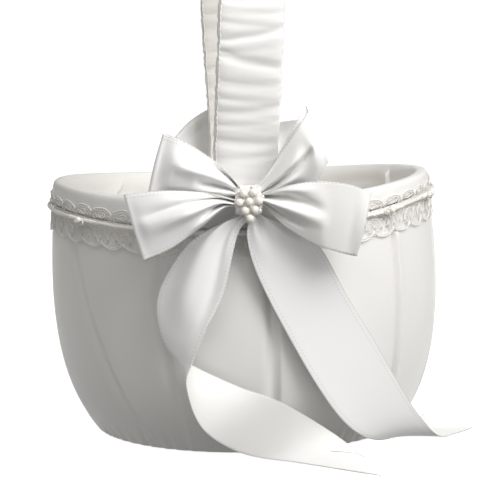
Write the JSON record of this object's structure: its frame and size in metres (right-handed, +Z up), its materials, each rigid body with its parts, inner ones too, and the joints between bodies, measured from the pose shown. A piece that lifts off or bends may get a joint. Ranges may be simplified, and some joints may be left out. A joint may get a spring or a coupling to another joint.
{
  "type": "flower girl basket",
  "caption": "Round satin-covered basket with a padded rim, lace and pearl trim, a tall ruched strap handle and ribbon bows, for carrying petals at a wedding.",
  "frame": {"origin": "centre of the flat base disc's underside, on the surface that the basket stands on", "axes": "+Z up; the front bow faces -Y; +X is to the right seen from the front; the handle arches from front (-Y) to back (+Y)"},
  "size_m": [0.1775, 0.2039, 0.2548],
  "materials": {
    "satin": "white bridal satin, soft sheen",
    "ribbon": "white double-face satin ribbon with a stitched edge",
    "lace": "white scalloped lace, matt thread",
    "cord": "twisted white satin cord",
    "pearl": "ivory imitation pearl",
    "board": "moulded board, bare",
    "card": "flat card, bare",
    "wadding": "white polyester wadding",
    "strip": "white plastic strip",
    "rivet": "nickel plated, satin"
  },
  "bodies": {
    "root": {"base_disc": "satin", "bowl_shell": "board", "floor_card": "card", "outer_cover": "satin", "lining": "satin", "rim_padding": "wadding", "rim_binding": "satin", "lace_trim": "lace", "trim_cord": "cord", "cord_pearl_left_1": "pearl", "cord_pearl_left_2": "pearl", "cord_pearl_left_3": "pearl", "cord_pearl_left_4": "pearl", "cord_pearl_right_1": "pearl", "cord_pearl_right_2": "pearl", "cord_pearl_right_3": "pearl", "cord_pearl_right_4": "pearl", "handle_core": "strip", "handle_sleeve": "satin", "handle_rivet_front_left": "rivet", "handle_rivet_front_right": "rivet", "handle_rivet_rear_left": "rivet", "handle_rivet_rear_right": "rivet", "front_bow_upper_left_loop": "ribbon", "front_bow_upper_right_loop": "ribbon", "front_bow_lower_left_loop": "ribbon", "front_bow_lower_right_loop": "ribbon", "front_bow_left_tail": "ribbon", "front_bow_right_tail": "ribbon", "front_bow_knot": "ribbon", "front_bow_tie_band": "ribbon", "rear_bow_upper_left_loop": "ribbon", "rear_bow_upper_right_loop": "ribbon", "rear_bow_lower_left_loop": "ribbon", "rear_bow_lower_right_loop": "ribbon", "rear_bow_left_tail": "ribbon", "rear_bow_right_tail": "ribbon", "rear_bow_knot": "ribbon", "rear_bow_tie_band": "ribbon", "front_bow_brooch_back": "ribbon", "front_bow_brooch_pearl_1": "pearl", "front_bow_brooch_pearl_2": "pearl", "front_bow_brooch_pearl_3": "pearl", "front_bow_brooch_pearl_4": "pearl", "front_bow_brooch_pearl_5": "pearl", "front_bow_brooch_pearl_6": "pearl", "front_bow_brooch_pearl_7": "pearl", "front_bow_brooch_pearl_8": "pearl"}
  },
  "joints": []
}
